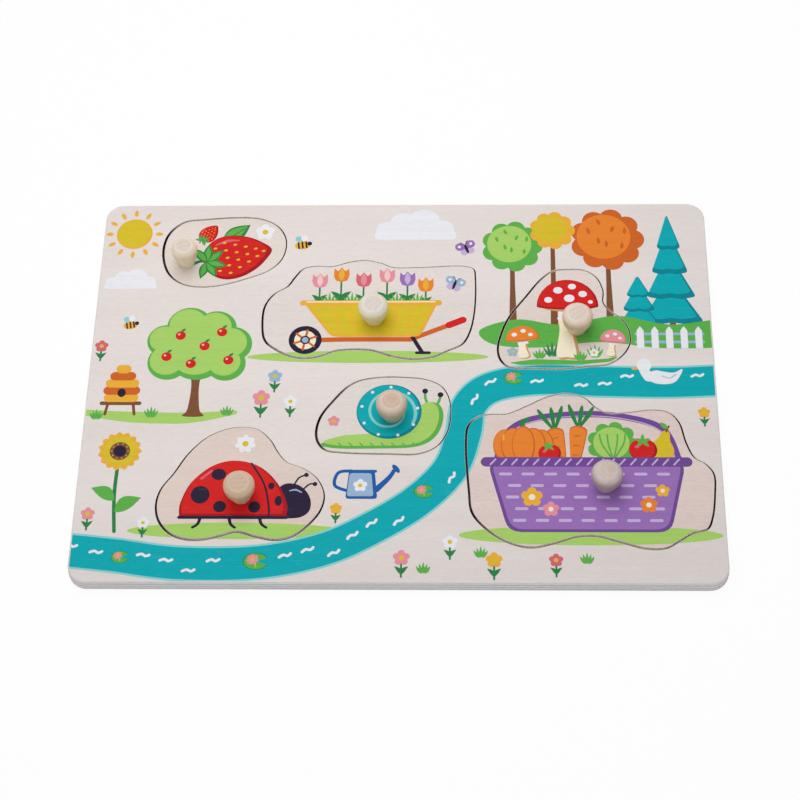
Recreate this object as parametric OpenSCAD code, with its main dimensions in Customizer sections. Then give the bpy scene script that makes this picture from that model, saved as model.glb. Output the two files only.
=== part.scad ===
// Wooden peg puzzle: a printed frame board with six jigsaw-cut recesses, glued on a backing board.
// Each recess holds a lift-out piece that is gripped by a turned knob, screwed on from below.
// Origin: centre of the board's underside. +X runs along the long edge, +Y away from the user, +Z up.

/* [Board] */
// Width of the backing board, along X
board_w = 300; // [296:1:340]
// Depth of the backing board, along Y
board_d = 210; // [206:1:250]
// Thickness of the backing board
backing_t = 3; // [2.4:0.1:5]
// Thickness of the sheet that the frame board and the pieces are cut from
sheet_t = 4; // [3.4:0.1:6]
// Radius of the board's corners
corner_r = 9; // [4:0.5:14]
// Distance that the backing board stands out beyond the frame board
ledge = 0.3; // [0.1:0.05:0.6]
// Radius of the sanded outer edges
edge_r = 0.6; // [0.3:0.1:1.2]

/* [Cut line] */
// Width of the gap between a piece and its recess
cut_gap = 0.8; // [0.4:0.05:1.2]
// Longest straight run along a cut line
curve_step = 1.25; // [1:0.25:2.5]

/* [Knob] */
// Greatest diameter of a knob
knob_d = 14.6; // [12:0.1:18]
// Diameter of a knob's foot
knob_foot_d = 9.2; // [8:0.1:11.5]
// Height of a knob above its piece
knob_h = 13.5; // [11.5:0.1:20]
// Height above the piece at which a knob reaches its full width
knob_shoulder_h = 10.4; // [8:0.1:10.8]
// Width of the rounded shoulder, from the greatest diameter in to the edge of the flat top
knob_rim_w = 2.4; // [1:0.1:3]
// Rise of the hardly domed top inside that edge
knob_crown = 0.15; // [0.05:0.05:0.6]
// Bevel around a knob's foot
knob_foot_bevel = 0.3; // [0.1:0.05:0.6]

/* [Screw] */
// Diameter of a screw's shank
screw_d = 3; // [2.4:0.1:3.6]
// Length of a screw, from the flat of its head to its tip
screw_l = 12; // [9:0.5:14]
// Diameter of a screw's countersunk head
screw_head_d = 5.8; // [5:0.1:6.6]
// Height of a screw's head
screw_head_h = 1.6; // [1.3:0.1:2]
// Height of the straight rim at the edge of a screw's head
screw_rim_h = 0.2; // [0.1:0.05:0.4]
// Length of a screw's tapered tip
screw_tip_l = 2; // [1:0.1:3]
// Diameter of a screw's blunt point
screw_point_d = 0.6; // [0.3:0.1:1]
// Depth of a screw's cross recess
drive_depth = 0.9; // [0.5:0.1:1.1]
// Length of each slot of the cross recess
drive_l = 3; // [2.2:0.1:3.6]
// Width of each slot of the cross recess
drive_w = 0.7; // [0.5:0.05:1]

/* [Hidden] */
// Depth that a screw's head lies below the underside of its piece
head_sink = 0.15;
// Clearance around a screw in its hole
screw_clearance = 0.05;
// Depth of a knob's pilot hole beyond the screw's tip
pilot_spare = 0.8;
// Length by which a cut runs past the face it opens
overrun = 1;

// Heights of the layers, from the underside up
sheet_z = backing_t;
top_z = sheet_z + sheet_t;
screw_z = sheet_z + head_sink;

// Radii
knob_r = knob_d / 2;
knob_foot_r = knob_foot_d / 2;
screw_r = screw_d / 2;
screw_head_r = screw_head_d / 2;
screw_point_r = screw_point_d / 2;

// Outer size of the frame board, inside the ledge
frame_w = board_w - 2 * ledge;
frame_d = board_d - 2 * ledge;
frame_corner_r = corner_r - ledge;

// Smoothness of turned parts, of sanded edges, and of each curve in a knob's profile
round_fn = 96;
edge_steps = 5;
profile_steps = 12;

// Sizes of the pieces' cut lines, as shares of the board's width and depth
strawberry_size_share = [0.204, 0.199];
wheelbarrow_size_share = [0.3447, 0.2724];
toadstool_size_share = [0.2127, 0.2719];
snail_size_share = [0.2107, 0.1995];
ladybird_size_share = [0.259, 0.2814];
basket_size_share = [0.382, 0.3881];

// Places of the cut lines' centres, as shares of the board's width and depth
strawberry_at_share = [0.204, 0.862];
wheelbarrow_at_share = [0.4467, 0.70];
toadstool_at_share = [0.761, 0.674];
snail_at_share = [0.4743, 0.4164];
ladybird_at_share = [0.2568, 0.2436];
basket_at_share = [0.795, 0.2783];

// How far each piece has slid from the middle of its recess, as a share of the gap around it
strawberry_slid_share = [0.42, -0.1];
wheelbarrow_slid_share = [0.2, 0.4];
toadstool_slid_share = [0.3, 0.15];
snail_slid_share = [0.47, 0.1];
ladybird_slid_share = [0.15, 0.6];
basket_slid_share = [0.15, 0.35];

// Places of the knobs, as shares of each piece's width and depth from its near left corner
strawberry_knob_share = [0.197, 0.357];
wheelbarrow_knob_share = [0.523, 0.402];
toadstool_knob_share = [0.594, 0.402];
snail_knob_share = [0.56, 0.504];
ladybird_knob_share = [0.503, 0.379];
basket_knob_share = [0.561, 0.399];

// Girth and height of the strawberry's knob, which was turned slimmer and taller, as shares of the others'
strawberry_knob_turned_share = [0.86, 1.1];

// Shape of the curve up a knob's flank: how far out of the foot, and in from full width, it bends
flank_out_share = [0.04, 0.26];
flank_in_share = [0.96, 0.52];

// Part of a quarter turn that a knob's shoulder rounds through before the flat top cuts it off
shoulder_turn_share = 0.68;

// Cut lines, clockwise, as shares of each piece's width and depth from its near left corner
strawberry_outline_shares = [
    [0, 0.50], [0.035, 0.76], [0.155, 0.935], [0.325, 0.972], [0.58, 1], [0.775, 0.98],
    [0.91, 0.885], [0.982, 0.737], [1, 0.58], [0.965, 0.385], [0.873, 0.24], [0.685, 0.115],
    [0.465, 0.02], [0.30, 0.005], [0.162, 0.057], [0.052, 0.21]
];
wheelbarrow_outline_shares = [
    [0, 0.343], [0.008, 0.535], [0.05, 0.657], [0.11, 0.733], [0.144, 0.829], [0.181, 0.913],
    [0.239, 0.941], [0.321, 0.937], [0.398, 0.981], [0.474, 1], [0.553, 0.969], [0.606, 0.928],
    [0.732, 0.925], [0.945, 0.937], [0.992, 0.907], [1, 0.815], [0.996, 0.483], [0.973, 0.264],
    [0.94, 0.15], [0.867, 0.079], [0.80, 0.021], [0.713, 0], [0.616, 0.028], [0.519, 0.086],
    [0.442, 0.096], [0.35, 0.082], [0.273, 0.028], [0.205, 0.009], [0.137, 0.031],
    [0.06, 0.107], [0.016, 0.185]
];
toadstool_outline_shares = [
    [0, 0.193], [0.028, 0.35], [0.088, 0.513], [0.223, 0.73], [0.331, 0.893], [0.425, 0.981],
    [0.55, 1], [0.668, 0.989], [0.759, 0.916], [0.806, 0.779], [0.804, 0.657], [0.85, 0.581],
    [0.934, 0.499], [0.991, 0.377], [0.992, 0.245], [0.934, 0.131], [0.824, 0.044],
    [0.683, 0.025], [0.495, 0], [0.245, 0.005], [0.08, 0.019], [0.019, 0.088]
];
snail_outline_shares = [
    [0, 0.286], [0.028, 0.477], [0.123, 0.697], [0.226, 0.876], [0.321, 0.957], [0.479, 0.998],
    [0.638, 0.998], [0.812, 0.967], [0.927, 0.881], [0.987, 0.716], [1, 0.501], [0.975, 0.286],
    [0.903, 0.107], [0.772, 0.007], [0.527, 0.002], [0.195, 0.019], [0.076, 0.05],
    [0.017, 0.148]
];
ladybird_outline_shares = [
    [0, 0.303], [0.021, 0.437], [0.093, 0.584], [0.17, 0.758], [0.268, 0.898], [0.371, 0.973],
    [0.474, 1], [0.577, 0.981], [0.66, 0.883], [0.714, 0.763], [0.766, 0.684], [0.866, 0.628],
    [0.952, 0.538], [0.999, 0.396], [0.982, 0.261], [0.911, 0.129], [0.815, 0.027],
    [0.718, 0], [0.609, 0.027], [0.493, 0.069], [0.39, 0.032], [0.287, 0.002],
    [0.178, 0.008], [0.088, 0.061], [0.023, 0.164]
];
basket_outline_shares = [
    [0, 0.691], [0.01, 0.785], [0.049, 0.843], [0.107, 0.861], [0.168, 0.863], [0.251, 0.917],
    [0.339, 0.979], [0.417, 1], [0.487, 0.972], [0.531, 0.909], [0.579, 0.87], [0.661, 0.872],
    [0.766, 0.89], [0.832, 0.871], [0.871, 0.804], [0.893, 0.679], [0.923, 0.579],
    [0.969, 0.533], [0.998, 0.47], [0.997, 0.347], [0.981, 0.194], [0.96, 0.126],
    [0.901, 0.099], [0.849, 0.053], [0.792, 0.005], [0.714, 0.001], [0.618, 0.038],
    [0.522, 0.077], [0.443, 0.074], [0.347, 0.031], [0.256, 0.006], [0.164, 0.04],
    [0.077, 0.126], [0.024, 0.225], [0.012, 0.36]
];

// Wood and metal as they look on the real thing
sheet_colour = "#e3d8cf";
backing_colour = "#ddd0c2";
knob_colour = "#e2d0b6";
screw_colour = "#b9bcc0";

// One of a closed list of points, counted around the end
function around(points, i) = points[(i + len(points)) % len(points)];

// Blend of p, which holds at time tp, and q, which holds at tq
function blend(p, q, tp, tq, t) = ((tq - t) * p + (t - tp) * q) / (tq - tp);

// Point at share u of the way from b to c, on the smooth curve through a, b, c and d
function curve_point(a, b, c, d, u) =
    let (
        ta = 0,
        tb = ta + sqrt(norm(b - a)),
        tc = tb + sqrt(norm(c - b)),
        td = tc + sqrt(norm(d - c)),
        t = tb + u * (tc - tb),
        ab = blend(a, b, ta, tb, t),
        bc = blend(b, c, tb, tc, t),
        cd = blend(c, d, tc, td, t)
    )
    blend(blend(ab, bc, ta, tc, t), blend(bc, cd, tb, td, t), tb, tc, t);

// Closed smooth curve through the points, in runs no longer than curve_step
function closed_curve(points) = [
    for (i = [0 : len(points) - 1])
        let (
            b = points[i],
            c = around(points, i + 1),
            steps = ceil(norm(c - b) / curve_step)
        )
        for (s = [0 : steps - 1])
            curve_point(around(points, i - 1), b, c, around(points, i + 2), s / steps)
];

// A clockwise closed path, moved outwards by a distance
function grown(path, distance) = [
    for (i = [0 : len(path) - 1])
        let (along = around(path, i + 1) - around(path, i - 1))
        path[i] + distance * [-along.y, along.x] / norm(along)
];

// Size that is these shares of the board's width and depth
function of_board(size_share) = [size_share.x * board_w, size_share.y * board_d];

// Place on the board that lies at these shares of its width and depth
function on_board(at_share) = of_board([at_share.x - 0.5, at_share.y - 0.5]);

// Place on a piece that lies at these shares of its size, measured from the piece's centre
function on_piece(size, at_share) = [(at_share.x - 0.5) * size.x, (at_share.y - 0.5) * size.y];

// Cut line of a piece, grown by a distance, around the piece's centre
function cut_line(size_share, outline_shares, distance) =
    let (size = of_board(size_share))
    grown(closed_curve([for (share = outline_shares) on_piece(size, share)]), distance);

// Point at share u of a cubic curve with ends a and d
function bezier(a, b, c, d, u) =
    pow(1 - u, 3) * a + 3 * pow(1 - u, 2) * u * b + 3 * (1 - u) * u * u * c + pow(u, 3) * d;

// Edge profile of a slab: x is the distance out of its corner centre, y its height
function slab_profile(t, r, low_r, high_r) = concat(
    [[0, 0]],
    [for (s = [0 : edge_steps])
        let (a = 90 * s / edge_steps)
        [r - low_r + low_r * sin(a), low_r - low_r * cos(a)]],
    [for (s = [0 : edge_steps])
        let (a = 90 * s / edge_steps)
        [r - high_r + high_r * cos(a), t - high_r + high_r * sin(a)]],
    [[0, t]]
);

// Board with rounded corners, centred, with its lower and upper edges sanded round
module slab(w, d, t, r, low_r, high_r) {
    half_w = w / 2 - r;
    half_d = d / 2 - r;
    profile = slab_profile(t, r, low_r, high_r);
    translate([-half_w, -half_d, 0])
        cube([2 * half_w, 2 * half_d, t]);
    for (turn = [0 : 3]) {
        odd = turn % 2;
        half_run = odd == 0 ? half_d : half_w;
        out = odd == 0 ? half_w : half_d;
        rotate([0, 0, 90 * turn]) {
            translate([out, half_run, 0])
                rotate([90, 0, 0])
                    linear_extrude(height = 2 * half_run)
                        polygon(profile);
            translate([out, half_run, 0])
                rotate_extrude(angle = 90, $fn = round_fn)
                    polygon(profile);
        }
    }
}

// Prism of a cut line, standing on z = 0
module cut_prism(size_share, outline_shares, distance, height) {
    linear_extrude(height = height)
        polygon(cut_line(size_share, outline_shares, distance));
}

// Hole through the frame board for one piece
module recess(size_share, outline_shares, at_share) {
    place = on_board(at_share);
    translate([place.x, place.y, sheet_z - overrun])
        cut_prism(size_share, outline_shares, cut_gap / 2, sheet_t + 2 * overrun);
}

// Screw's outline, or with a clearance its hole, from the flat of the head up
module screw_profile(length, clearance, below) {
    polygon([
        [0, -below],
        [screw_head_r + clearance, -below],
        [screw_head_r + clearance, screw_rim_h],
        [screw_r + clearance, screw_head_h],
        [screw_r + clearance, length],
        [0, length]
    ]);
}

// Piece of the cut sheet around its own centre, with a countersunk hole for its screw
module piece_blank(size_share, outline_shares, knob_share) {
    knob_place = on_piece(of_board(size_share), knob_share);
    difference() {
        cut_prism(size_share, outline_shares, -cut_gap / 2, sheet_t);
        translate([knob_place.x, knob_place.y, head_sink])
            rotate_extrude($fn = round_fn)
                screw_profile(sheet_t + overrun, screw_clearance, head_sink + overrun);
    }
}

// Puts a part at height z where a piece lies, slid off the middle of its recess
module at_piece(at_share, slid_share, z) {
    place = on_board(at_share) + slid_share * cut_gap;
    translate([place.x, place.y, z])
        children();
}

// Puts a part at height z over the place of a piece's knob
module at_knob(size_share, at_share, slid_share, knob_share, z) {
    knob_place = on_piece(of_board(size_share), knob_share);
    at_piece(at_share, slid_share, z)
        translate([knob_place.x, knob_place.y, 0])
            children();
}

// Turned knob with a blind pilot hole in its foot, standing on z = 0, its girth and height as shares
module knob_blank(turned_share = [1, 1]) {
    rim_z = turned_share.y * knob_h - knob_crown;
    full_r = turned_share.x * knob_r;
    foot_r = turned_share.x * knob_foot_r;
    rim_w = turned_share.x * knob_rim_w;
    rim_r = full_r - rim_w;
    turn = 90 * shoulder_turn_share;
    shoulder_w = rim_w / (1 - cos(turn));
    foot = [foot_r, knob_foot_bevel];
    shoulder = [full_r, turned_share.y * knob_shoulder_h];
    shoulder_rise = (rim_z - shoulder.y) / sin(turn);
    widening = full_r - foot_r;
    rise = shoulder.y - foot.y;
    bend_out = foot + [widening * flank_out_share.x, rise * flank_out_share.y];
    bend_in = foot + [widening * flank_in_share.x, rise * flank_in_share.y];
    flank = [for (s = [0 : profile_steps]) bezier(foot, bend_out, bend_in, shoulder, s / profile_steps)];
    rim = [
        for (s = [1 : profile_steps])
            let (a = turn * s / profile_steps)
            shoulder + [-shoulder_w * (1 - cos(a)), shoulder_rise * sin(a)]
    ];
    crown = [
        for (s = [1 : profile_steps])
            let (inward = s / profile_steps)
            [rim_r * (1 - inward), rim_z + knob_crown * (1 - pow(1 - inward, 2))]
    ];
    pilot_depth = screw_l + head_sink - sheet_t + pilot_spare;
    difference() {
        rotate_extrude($fn = round_fn)
            polygon(concat([[0, 0], [foot_r - knob_foot_bevel, 0]], flank, rim, crown));
        translate([0, 0, -overrun])
            cylinder(r = screw_r + screw_clearance, h = pilot_depth + overrun, $fn = round_fn);
    }
}

// Countersunk screw with a cross recess, head down, standing on z = 0
module screw_blank() {
    difference() {
        union() {
            rotate_extrude($fn = round_fn)
                screw_profile(screw_l - screw_tip_l, 0, 0);
            translate([0, 0, screw_l - screw_tip_l])
                cylinder(r1 = screw_r, r2 = screw_point_r, h = screw_tip_l, $fn = round_fn);
        }
        for (turn = [0, 90])
            rotate([0, 0, turn])
                translate([-drive_l / 2, -drive_w / 2, -overrun])
                    cube([drive_l, drive_w, drive_depth + overrun]);
    }
}

// Boards
module backing_board() {
    color(backing_colour)
        slab(board_w, board_d, backing_t, corner_r, edge_r, 0);
}

module frame_board() {
    color(sheet_colour)
        difference() {
            translate([0, 0, sheet_z])
                slab(frame_w, frame_d, sheet_t, frame_corner_r, 0, edge_r);
            recess(strawberry_size_share, strawberry_outline_shares, strawberry_at_share);
            recess(wheelbarrow_size_share, wheelbarrow_outline_shares, wheelbarrow_at_share);
            recess(toadstool_size_share, toadstool_outline_shares, toadstool_at_share);
            recess(snail_size_share, snail_outline_shares, snail_at_share);
            recess(ladybird_size_share, ladybird_outline_shares, ladybird_at_share);
            recess(basket_size_share, basket_outline_shares, basket_at_share);
        }
}

// Strawberry piece, at the far left
module strawberry_piece() {
    color(sheet_colour)
        at_piece(strawberry_at_share, strawberry_slid_share, sheet_z)
            piece_blank(strawberry_size_share, strawberry_outline_shares, strawberry_knob_share);
}

module strawberry_knob() {
    color(knob_colour)
        at_knob(
            strawberry_size_share, strawberry_at_share,
            strawberry_slid_share, strawberry_knob_share, top_z
        )
            knob_blank(strawberry_knob_turned_share);
}

module strawberry_screw() {
    color(screw_colour)
        at_knob(
            strawberry_size_share, strawberry_at_share,
            strawberry_slid_share, strawberry_knob_share, screw_z
        )
            screw_blank();
}

// Wheelbarrow piece, at the far middle
module wheelbarrow_piece() {
    color(sheet_colour)
        at_piece(wheelbarrow_at_share, wheelbarrow_slid_share, sheet_z)
            piece_blank(wheelbarrow_size_share, wheelbarrow_outline_shares, wheelbarrow_knob_share);
}

module wheelbarrow_knob() {
    color(knob_colour)
        at_knob(
            wheelbarrow_size_share, wheelbarrow_at_share,
            wheelbarrow_slid_share, wheelbarrow_knob_share, top_z
        )
            knob_blank();
}

module wheelbarrow_screw() {
    color(screw_colour)
        at_knob(
            wheelbarrow_size_share, wheelbarrow_at_share,
            wheelbarrow_slid_share, wheelbarrow_knob_share, screw_z
        )
            screw_blank();
}

// Toadstool piece, at the far right
module toadstool_piece() {
    color(sheet_colour)
        at_piece(toadstool_at_share, toadstool_slid_share, sheet_z)
            piece_blank(toadstool_size_share, toadstool_outline_shares, toadstool_knob_share);
}

module toadstool_knob() {
    color(knob_colour)
        at_knob(
            toadstool_size_share, toadstool_at_share,
            toadstool_slid_share, toadstool_knob_share, top_z
        )
            knob_blank();
}

module toadstool_screw() {
    color(screw_colour)
        at_knob(
            toadstool_size_share, toadstool_at_share,
            toadstool_slid_share, toadstool_knob_share, screw_z
        )
            screw_blank();
}

// Snail piece, near the middle
module snail_piece() {
    color(sheet_colour)
        at_piece(snail_at_share, snail_slid_share, sheet_z)
            piece_blank(snail_size_share, snail_outline_shares, snail_knob_share);
}

module snail_knob() {
    color(knob_colour)
        at_knob(
            snail_size_share, snail_at_share,
            snail_slid_share, snail_knob_share, top_z
        )
            knob_blank();
}

module snail_screw() {
    color(screw_colour)
        at_knob(
            snail_size_share, snail_at_share,
            snail_slid_share, snail_knob_share, screw_z
        )
            screw_blank();
}

// Ladybird piece, at the near left
module ladybird_piece() {
    color(sheet_colour)
        at_piece(ladybird_at_share, ladybird_slid_share, sheet_z)
            piece_blank(ladybird_size_share, ladybird_outline_shares, ladybird_knob_share);
}

module ladybird_knob() {
    color(knob_colour)
        at_knob(
            ladybird_size_share, ladybird_at_share,
            ladybird_slid_share, ladybird_knob_share, top_z
        )
            knob_blank();
}

module ladybird_screw() {
    color(screw_colour)
        at_knob(
            ladybird_size_share, ladybird_at_share,
            ladybird_slid_share, ladybird_knob_share, screw_z
        )
            screw_blank();
}

// Basket piece, at the near right
module basket_piece() {
    color(sheet_colour)
        at_piece(basket_at_share, basket_slid_share, sheet_z)
            piece_blank(basket_size_share, basket_outline_shares, basket_knob_share);
}

module basket_knob() {
    color(knob_colour)
        at_knob(
            basket_size_share, basket_at_share,
            basket_slid_share, basket_knob_share, top_z
        )
            knob_blank();
}

module basket_screw() {
    color(screw_colour)
        at_knob(
            basket_size_share, basket_at_share,
            basket_slid_share, basket_knob_share, screw_z
        )
            screw_blank();
}

backing_board();
frame_board();
strawberry_piece();
strawberry_knob();
strawberry_screw();
wheelbarrow_piece();
wheelbarrow_knob();
wheelbarrow_screw();
toadstool_piece();
toadstool_knob();
toadstool_screw();
snail_piece();
snail_knob();
snail_screw();
ladybird_piece();
ladybird_knob();
ladybird_screw();
basket_piece();
basket_knob();
basket_screw();
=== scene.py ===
"""Looks of the wooden peg puzzle: materials, the printed garden picture, light and camera."""
import math

import bpy
import numpy as np
from mathutils import Matrix, Vector
from mathutils.geometry import delaunay_2d_cdt

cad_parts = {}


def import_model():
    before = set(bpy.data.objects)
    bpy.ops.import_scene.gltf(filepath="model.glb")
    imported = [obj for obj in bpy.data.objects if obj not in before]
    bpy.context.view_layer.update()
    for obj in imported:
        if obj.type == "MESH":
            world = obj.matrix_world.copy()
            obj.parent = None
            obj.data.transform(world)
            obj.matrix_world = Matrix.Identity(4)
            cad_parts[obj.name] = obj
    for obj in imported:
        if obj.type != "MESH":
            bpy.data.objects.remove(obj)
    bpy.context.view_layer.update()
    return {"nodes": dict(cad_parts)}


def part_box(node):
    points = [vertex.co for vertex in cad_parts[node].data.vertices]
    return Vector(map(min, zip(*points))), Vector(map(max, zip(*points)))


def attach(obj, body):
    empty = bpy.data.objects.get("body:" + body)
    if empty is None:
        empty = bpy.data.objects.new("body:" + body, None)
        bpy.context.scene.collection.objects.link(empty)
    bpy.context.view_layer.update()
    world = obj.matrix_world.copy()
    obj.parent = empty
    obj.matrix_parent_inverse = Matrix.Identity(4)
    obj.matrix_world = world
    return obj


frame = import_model()

# Sizes in metres, read from the frame
MM = 0.001
FRAME_LOW, FRAME_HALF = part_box("frame_board")
SEAM_Z, TOP_Z = FRAME_LOW.z, FRAME_HALF.z

# Light: the sky's strength at the horizon and overhead, the share of the floor's white that no shadow
# dims, and the lamps, each with its place and its size in metres and its power in watts
SKY_LIGHT = (0.3, 0.45)
FLOOR_GLOW = 0.93
LAMPS = (
    ("top", (-0.08, 0.2, 0.6), 0.5, 2.0),
    ("front", (-0.1, -0.42, 1.15), 0.5, 2.0),
)

# Camera, solved from the board's corners in the photograph
CAMERA_AT = Vector((0.03258, -0.48736, 0.82289))
CAMERA_AIM = Vector((0, -0.0092, TOP_Z))
CAMERA_ROLL = math.radians(-3.36)
CAMERA_LENS = 89.86
SENSOR_WIDTH = 36

# The floor: how far it reaches each way, and how far it lies below the board, in metres
FLOOR_REACH = 6
FLOOR_DROP = 0.1 * MM

# The print, in millimetres: its height above the wood, its distance from every cut edge, and the
# smallest triangle that is kept, in square millimetres
INK_LIFT = 0.03
INK_MARGIN = 0.15
LEAST_AREA = 1e-6

# The narrowest burn on a rim, and what the painted shade on the backing keeps away from each wall, in
# millimetres
LEAST_SCORCH = 0.005
GAP_SHADE_INSET = 0.02

# Each piece: how far the top is scorched beside its cut, in millimetres, where the blade crossed the grain, a
# burn that is partly painted shade; its pale and dark grain, as sRGB channels; its knob's end grain, with the
# middle of the rings in millimetres from the knob's own; and its knob's side, at the foot, below the shoulder
# and on the rim, tones that hold painted light and shade and a painted reflection of the print around the
# knob
LOOKS = {
    "strawberry": (0.05, ((230, 219, 211), (217, 204, 194)), ((218, 204, 190), (9, -26)),
                   ((255, 240, 208), (250, 232, 202), (233, 219, 205))),
    "wheelbarrow": (0.05, ((231, 221, 216), (219, 208, 202)), ((219, 208, 199), (17, -15)),
                    ((255, 246, 198), (242, 230, 190), (228, 222, 214))),
    "toadstool": (0.01, ((229, 217, 210), (216, 202, 194)), ((223, 205, 191), (15, -19)),
                  ((252, 220, 186), (236, 204, 174), (232, 216, 204))),
    "snail": (0.03, ((229, 219, 214), (216, 205, 199)), ((204, 176, 151), (0.2, 0.8)),
              ((222, 206, 178), (204, 186, 158), (216, 198, 182))),
    "ladybird": (0.005, ((224, 207, 198), (211, 191, 182)), ((202, 172, 150), (3, -27)),
                 ((255, 228, 194), (226, 188, 154), (208, 182, 158))),
    "basket": (0.07, ((229, 212, 205), (216, 196, 188)), ((206, 186, 175), (1.9, 1.2)),
               ((212, 192, 188), (186, 166, 162), (206, 192, 192))),
}

MOTIFS = tuple(LOOKS)

# Distance from one growth ring to the next, in metres
RING_PITCH = 2.3 * MM

# Printing inks, as sRGB channels from 0 to 255
INKS = {
    "teal": (12, 174, 184),
    "deep_teal": (14, 136, 150),
    "pale_teal": (142, 214, 216),
    "white": (241, 241, 247),
    "cream": (250, 240, 214),
    "grey": (196, 202, 212),
    "blue_grey": (160, 186, 214),
    "blue": (30, 96, 170),
    "night": (44, 34, 58),
    "brown": (128, 84, 56),
    "tan": (206, 160, 108),
    "red": (216, 38, 36),
    "dark_red": (172, 26, 32),
    "pink": (236, 150, 160),
    "pale_pink": (249, 205, 208),
    "rose": (222, 104, 122),
    "orange": (239, 136, 52),
    "dark_orange": (212, 104, 42),
    "yellow": (221, 196, 48),
    "gold": (240, 180, 60),
    "lime": (172, 214, 108),
    "green": (97, 180, 78),
    "dark_green": (46, 132, 74),
    "purple": (158, 116, 188),
    "dark_purple": (116, 78, 152),
    "lilac": (204, 182, 224),
}


def linear(value):
    """Linear light of one sRGB channel, given from 0 to 255."""
    share = value / 255
    return share / 12.92 if share <= 0.04045 else ((share + 0.055) / 1.055) ** 2.4


def colour(red, green, blue):
    """Linear RGBA of an sRGB colour given from 0 to 255."""
    return (linear(red), linear(green), linear(blue), 1)


# The wood's pores, and full white
PORE = colour(188, 172, 160)
WHITE = (1, 1, 1, 1)


# Materials

class Graph:
    """A node graph, built one node at a time in a new material or world."""

    def __init__(self, owner):
        owner.use_nodes = True
        self.nodes, self.links = owner.node_tree.nodes, owner.node_tree.links
        self.nodes.clear()

    def put(self, socket, value):
        """Links a socket, or sets a plain value on it."""
        if isinstance(value, bpy.types.NodeSocket):
            self.links.new(value, socket)
        else:
            socket.default_value = value

    def node(self, kind, inputs=None, **settings):
        made = self.nodes.new("ShaderNode" + kind)
        for key, value in settings.items():
            setattr(made, key, value)
        for key, value in (inputs or {}).items():
            self.put(made.inputs[key], value)
        return made

    def math(self, operation, first, second=0.0):
        return self.node("Math", {0: first, 1: second}, operation=operation).outputs[0]

    def add(self, first, second):
        return self.math("ADD", first, second)

    def times(self, first, second):
        return self.math("MULTIPLY", first, second)

    def away(self, value, middle):
        """How far a value lies from a middle one."""
        return self.math("ABSOLUTE", self.math("SUBTRACT", value, middle))

    def mix(self, share, first, second):
        made = self.node("Mix", {0: share, 6: first, 7: second}, data_type="RGBA")
        return made.outputs[2]

    def offset(self, at, origin):
        """Coordinates as seen from another point."""
        return self.node("VectorMath", {0: at, 1: origin}, operation="SUBTRACT").outputs[0]

    def local(self, origin=(0, 0, 0)):
        """The object's own coordinates, in metres from a point."""
        return self.offset(self.node("TexCoord").outputs["Object"], origin)

    def stretched(self, at, per_metre):
        """Coordinates stretched to so many units a metre along each axis."""
        return self.node("VectorMath", {0: at, 1: per_metre}, operation="MULTIPLY").outputs[0]

    def noise(self, at, per_metre, detail=2.0, roughness=0.5, distortion=0.0):
        """Noise with so many cells a metre along each axis."""
        inputs = {
            "Vector": self.stretched(at, per_metre), "Scale": 1.0, "Detail": detail,
            "Roughness": roughness, "Distortion": distortion,
        }
        return self.node("TexNoise", inputs).outputs["Fac"]

    def between(self, value, low, high, to_low=0.0, to_high=1.0):
        """Where a value lies from low to high, smoothed, as a number from to_low to to_high."""
        inputs = {
            "Value": value, "From Min": low, "From Max": high,
            "To Min": to_low, "To Max": to_high,
        }
        return self.node("MapRange", inputs, interpolation_type="SMOOTHSTEP").outputs["Result"]

    def blend(self, value, low, high, first, second):
        """A first colour that turns into a second as a value runs from low to high."""
        return self.mix(self.between(value, low, high), first, second)

    def apart(self, vector):
        return self.node("SeparateXYZ", {0: vector}).outputs

    def from_axis(self, at):
        """How far a place lies from the Z axis."""
        x, y, _ = self.apart(at)
        return self.math("SQRT", self.add(self.times(x, x), self.times(y, y)))

    def upright(self):
        """1 where the object's surface stands upright, 0 where it lies flat."""
        lean = self.apart(self.node("TexCoord").outputs["Normal"])[2]
        return self.between(self.math("ABSOLUTE", lean), 0.35, 0.6, 1.0, 0.0)

    def shown_directly(self):
        """1 for rays that show a surface itself or its mirror image, 0 for rays that only light others."""
        rays = self.node("LightPath").outputs
        mirror = self.math("MAXIMUM", rays["Is Camera Ray"], rays["Is Glossy Ray"])
        return self.math("MAXIMUM", mirror, rays["Is Transmission Ray"])


class Shader(Graph):
    """A material with one principled surface."""

    def __init__(self, name):
        self.material = bpy.data.materials.new(name)
        super().__init__(self.material)
        self.surface = self.node("BsdfPrincipled")
        self.output = self.node("OutputMaterial", {"Surface": self.surface.outputs[0]})

    def finish(self, **values):
        """Sets the surface's sockets, where an underscore stands for a space."""
        for key, value in values.items():
            self.put(self.surface.inputs[key.replace("_", " ")], value)
        return self.material

    def sum(self, *parts):
        """A sum of values, each given with its weight."""
        total = self.times(*parts[0])
        for part in parts[1:]:
            total = self.add(total, self.times(*part))
        return total

    def bump(self, height, distance):
        made = self.node("Bump", {"Height": height, "Distance": distance})
        self.put(self.surface.inputs["Normal"], made.outputs["Normal"])


def faded(tone, share):
    """A share of a linear colour's light."""
    return tuple(share * channel for channel in tone[:3]) + (1,)


def sliced_grain(shader, at):
    """Birch veneer, its grain along X: soft bands, fine streaks, short flecks and sparse pores."""
    bands = shader.noise(at, (4, 36, 36), distortion=0.5)
    streaks = shader.noise(at, (24, 520, 520), detail=3, roughness=0.6)
    flecks = shader.noise(at, (330, 1500, 1500), roughness=0.6)
    pores = shader.between(shader.noise(at, (150, 2600, 2600), detail=1), 0.67, 0.78)
    return bands, streaks, flecks, pores


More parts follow.
